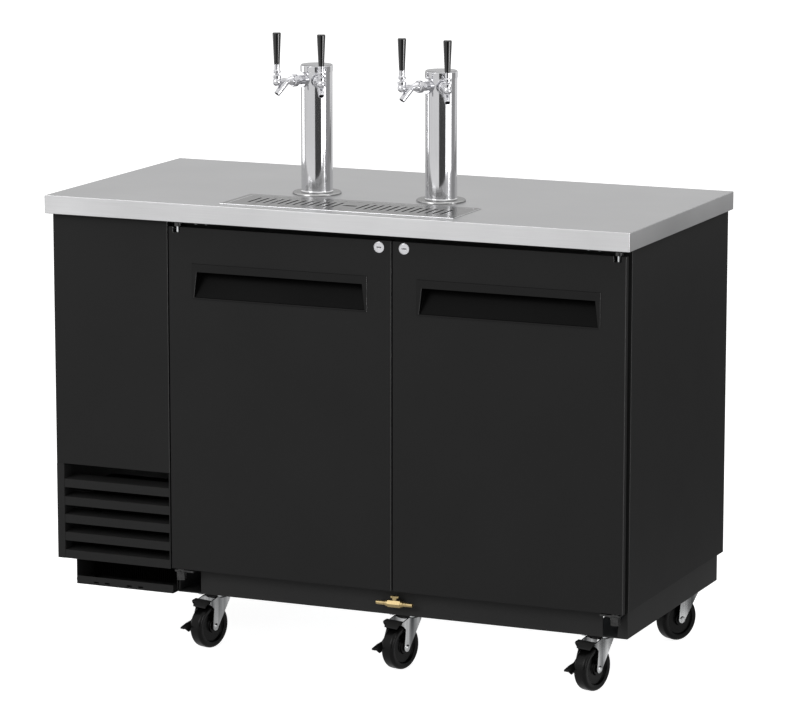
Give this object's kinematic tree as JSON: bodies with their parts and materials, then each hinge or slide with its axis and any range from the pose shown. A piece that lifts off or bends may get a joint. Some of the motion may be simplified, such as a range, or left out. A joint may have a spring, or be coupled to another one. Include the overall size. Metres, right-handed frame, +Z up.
{
  "type": "draft beer dispenser",
  "caption": "Wheeled keg cooler with hinged doors, a louvred machine bay, a steel counter with a drip tray, and tap towers with tilting faucet levers.",
  "frame": {"origin": "on the floor, under the middle of the counter", "axes": "+Z up, -Y towards the person at the doors, +X to that person's right"},
  "size_m": [1.495, 0.725, 1.492],
  "materials": {
    "stainless_counter": "brushed",
    "black_paint": "satin black powder coat",
    "dark_paint": "satin black paint",
    "cabinet_liner": "stucco",
    "galvanised_back": "galvanised sheet",
    "handle_plastic": "moulded",
    "gasket_rubber": "matte",
    "fan_plastic": "moulded",
    "polished_steel": "mirror",
    "tap_handle_plastic": "polished",
    "valve_brass": "machined",
    "zinc_plate": "bright zinc",
    "wheel_rubber": "matte",
    "brake_steel": "satin black"
  },
  "bodies": {
    "cabinet": {"counter_top": "stainless_counter", "insulated_roof": "black_paint", "insulated_floor": "cabinet_liner", "rear_wall": "galvanised_back", "right_wall": "black_paint", "bay_partition": "black_paint", "centre_mullion": "black_paint", "bay_side_panel": "black_paint", "bay_front_panel": "black_paint", "louvre_grille": "black_paint", "bay_base_pan": "dark_paint", "base_frame": "dark_paint", "hinge_brackets": "dark_paint", "compressor": "dark_paint", "condenser_coil": "dark_paint", "fan_shroud": "dark_paint", "evaporator_housing": "cabinet_liner", "tower_columns": "polished_steel", "tower_caps": "polished_steel", "faucet_shanks": "polished_steel", "coupling_nuts": "polished_steel", "faucet_bodies": "polished_steel", "drip_pan": "stainless_counter", "drain_valve_body": "valve_brass", "caster_plates": "dark_paint"},
    "left_door": {"left_door": "black_paint", "left_door_gasket": "gasket_rubber", "left_door_handle": "handle_plastic"},
    "left_door_lock": {"left_door_lock": "polished_steel"},
    "right_door": {"right_door": "black_paint", "right_door_gasket": "gasket_rubber", "right_door_handle": "handle_plastic"},
    "right_door_lock": {"right_door_lock": "polished_steel"},
    "faucet_lever_1": {"faucet_lever_1": "polished_steel", "tap_handle_1": "tap_handle_plastic"},
    "faucet_lever_2": {"faucet_lever_2": "polished_steel", "tap_handle_2": "tap_handle_plastic"},
    "faucet_lever_3": {"faucet_lever_3": "polished_steel", "tap_handle_3": "tap_handle_plastic"},
    "faucet_lever_4": {"faucet_lever_4": "polished_steel", "tap_handle_4": "tap_handle_plastic"},
    "drip_grid": {"drip_grid": "stainless_counter"},
    "drain_valve_lever": {"drain_valve_lever": "valve_brass"},
    "condenser_fan": {"condenser_fan": "fan_plastic"},
    "evaporator_fan": {"evaporator_fan": "fan_plastic"},
    "fork_front_left": {"fork_front_left": "zinc_plate"},
    "wheel_front_left": {"wheel_front_left": "wheel_rubber"},
    "fork_front_middle": {"fork_front_middle": "zinc_plate"},
    "wheel_front_middle": {"wheel_front_middle": "wheel_rubber"},
    "fork_front_right": {"fork_front_right": "zinc_plate"},
    "wheel_front_right": {"wheel_front_right": "wheel_rubber"},
    "fork_rear_left": {"fork_rear_left": "zinc_plate"},
    "wheel_rear_left": {"wheel_rear_left": "wheel_rubber"},
    "fork_rear_middle": {"fork_rear_middle": "zinc_plate"},
    "wheel_rear_middle": {"wheel_rear_middle": "wheel_rubber"},
    "fork_rear_right": {"fork_rear_right": "zinc_plate"},
    "wheel_rear_right": {"wheel_rear_right": "wheel_rubber"},
    "brake_front_left": {"brake_front_left": "brake_steel"},
    "brake_front_middle": {"brake_front_middle": "brake_steel"},
    "brake_front_right": {"brake_front_right": "brake_steel"}
  },
  "joints": [
    {"name": "left_door_hinge", "type": "hinge", "parent": "cabinet", "child": "left_door", "pos_m": [-0.404, -0.3325, 0.204], "axis": [0, 0, -1], "range_deg": [0, 105]},
    {"name": "left_lock_turn", "type": "hinge", "parent": "left_door", "child": "left_door_lock", "pos_m": [0.12225, -0.3425, 1.023], "axis": [0, 1, 0], "range_deg": [0, 90]},
    {"name": "right_door_hinge", "type": "hinge", "parent": "cabinet", "child": "right_door", "pos_m": [0.712, -0.3325, 0.204], "axis": [0, 0, 1], "range_deg": [0, 105]},
    {"name": "right_lock_turn", "type": "hinge", "parent": "right_door", "child": "right_door_lock", "pos_m": [0.18575, -0.3425, 1.023], "axis": [0, -1, 0], "range_deg": [0, 90]},
    {"name": "faucet_lever_1_tilt", "type": "hinge", "parent": "cabinet", "child": "faucet_lever_1", "pos_m": [-0.22, -0.16846, 1.386], "axis": [0.866, -0.5, 0], "range_deg": [0, 28]},
    {"name": "faucet_lever_2_tilt", "type": "hinge", "parent": "cabinet", "child": "faucet_lever_2", "pos_m": [-0.104, -0.16846, 1.386], "axis": [0.866, 0.5, 0], "range_deg": [0, 28]},
    {"name": "faucet_lever_3_tilt", "type": "hinge", "parent": "cabinet", "child": "faucet_lever_3", "pos_m": [0.104, -0.16846, 1.386], "axis": [0.866, -0.5, 0], "range_deg": [0, 28]},
    {"name": "faucet_lever_4_tilt", "type": "hinge", "parent": "cabinet", "child": "faucet_lever_4", "pos_m": [0.22, -0.16846, 1.386], "axis": [0.866, 0.5, 0], "range_deg": [0, 28]},
    {"name": "drip_grid_lift", "type": "slide", "parent": "cabinet", "child": "drip_grid", "axis": [0, 0, 1], "range_m": [0, 0.12]},
    {"name": "drain_valve_turn", "type": "hinge", "parent": "cabinet", "child": "drain_valve_lever", "pos_m": [0.154, -0.3265, 0.1795], "axis": [0, 0, 1], "range_deg": [0, 90]},
    {"name": "condenser_fan_spin", "type": "hinge", "parent": "cabinet", "child": "condenser_fan", "pos_m": [-0.55825, -0.1985, 0.261], "axis": [0, 1, 0], "continuous": true},
    {"name": "evaporator_fan_spin", "type": "hinge", "parent": "cabinet", "child": "evaporator_fan", "pos_m": [-0.2645, 0.155, 0.862], "axis": [1, 0, 0], "continuous": true},
    {"name": "swivel_front_left", "type": "hinge", "parent": "cabinet", "child": "fork_front_left", "pos_m": [-0.352, -0.2465, 0.1217], "axis": [0, 0, 1], "continuous": true},
    {"name": "wheel_spin_front_left", "type": "hinge", "parent": "fork_front_left", "child": "wheel_front_left", "pos_m": [-0.35977, -0.27548, 0.054], "axis": [0.9659, -0.2588, 0], "continuous": true},
    {"name": "swivel_front_middle", "type": "hinge", "parent": "cabinet", "child": "fork_front_middle", "pos_m": [0.154, -0.2465, 0.1217], "axis": [0, 0, 1], "continuous": true},
    {"name": "wheel_spin_front_middle", "type": "hinge", "parent": "fork_front_middle", "child": "wheel_front_middle", "pos_m": [0.14624, -0.27548, 0.054], "axis": [0.9659, -0.2588, 0], "continuous": true},
    {"name": "swivel_front_right", "type": "hinge", "parent": "cabinet", "child": "fork_front_right", "pos_m": [0.642, -0.2465, 0.1217], "axis": [0, 0, 1], "continuous": true},
    {"name": "wheel_spin_front_right", "type": "hinge", "parent": "fork_front_right", "child": "wheel_front_right", "pos_m": [0.63423, -0.27548, 0.054], "axis": [0.9659, -0.2588, 0], "continuous": true},
    {"name": "swivel_rear_left", "type": "hinge", "parent": "cabinet", "child": "fork_rear_left", "pos_m": [-0.352, 0.2745, 0.1217], "axis": [0, 0, 1], "continuous": true},
    {"name": "wheel_spin_rear_left", "type": "hinge", "parent": "fork_rear_left", "child": "wheel_rear_left", "pos_m": [-0.36608, 0.24801, 0.054], "axis": [0.8829, -0.4695, 0], "continuous": true},
    {"name": "swivel_rear_middle", "type": "hinge", "parent": "cabinet", "child": "fork_rear_middle", "pos_m": [0.154, 0.2745, 0.1217], "axis": [0, 0, 1], "continuous": true},
    {"name": "wheel_spin_rear_middle", "type": "hinge", "parent": "fork_rear_middle", "child": "wheel_rear_middle", "pos_m": [0.13992, 0.24801, 0.054], "axis": [0.8829, -0.4695, 0], "continuous": true},
    {"name": "swivel_rear_right", "type": "hinge", "parent": "cabinet", "child": "fork_rear_right", "pos_m": [0.669, 0.2745, 0.1217], "axis": [0, 0, 1], "continuous": true},
    {"name": "wheel_spin_rear_right", "type": "hinge", "parent": "fork_rear_right", "child": "wheel_rear_right", "pos_m": [0.65492, 0.24801, 0.054], "axis": [0.8829, -0.4695, 0], "continuous": true},
    {"name": "brake_press_front_left", "type": "hinge", "parent": "fork_front_left", "child": "brake_front_left", "pos_m": [-0.36339, -0.289, 0.1137], "axis": [0.9659, -0.2588, 0], "range_deg": [0, 14]},
    {"name": "brake_press_front_middle", "type": "hinge", "parent": "fork_front_middle", "child": "brake_front_middle", "pos_m": [0.14261, -0.289, 0.1137], "axis": [0.9659, -0.2588, 0], "range_deg": [0, 14]},
    {"name": "brake_press_front_right", "type": "hinge", "parent": "fork_front_right", "child": "brake_front_right", "pos_m": [0.63061, -0.289, 0.1137], "axis": [0.9659, -0.2588, 0], "range_deg": [0, 14]}
  ]
}
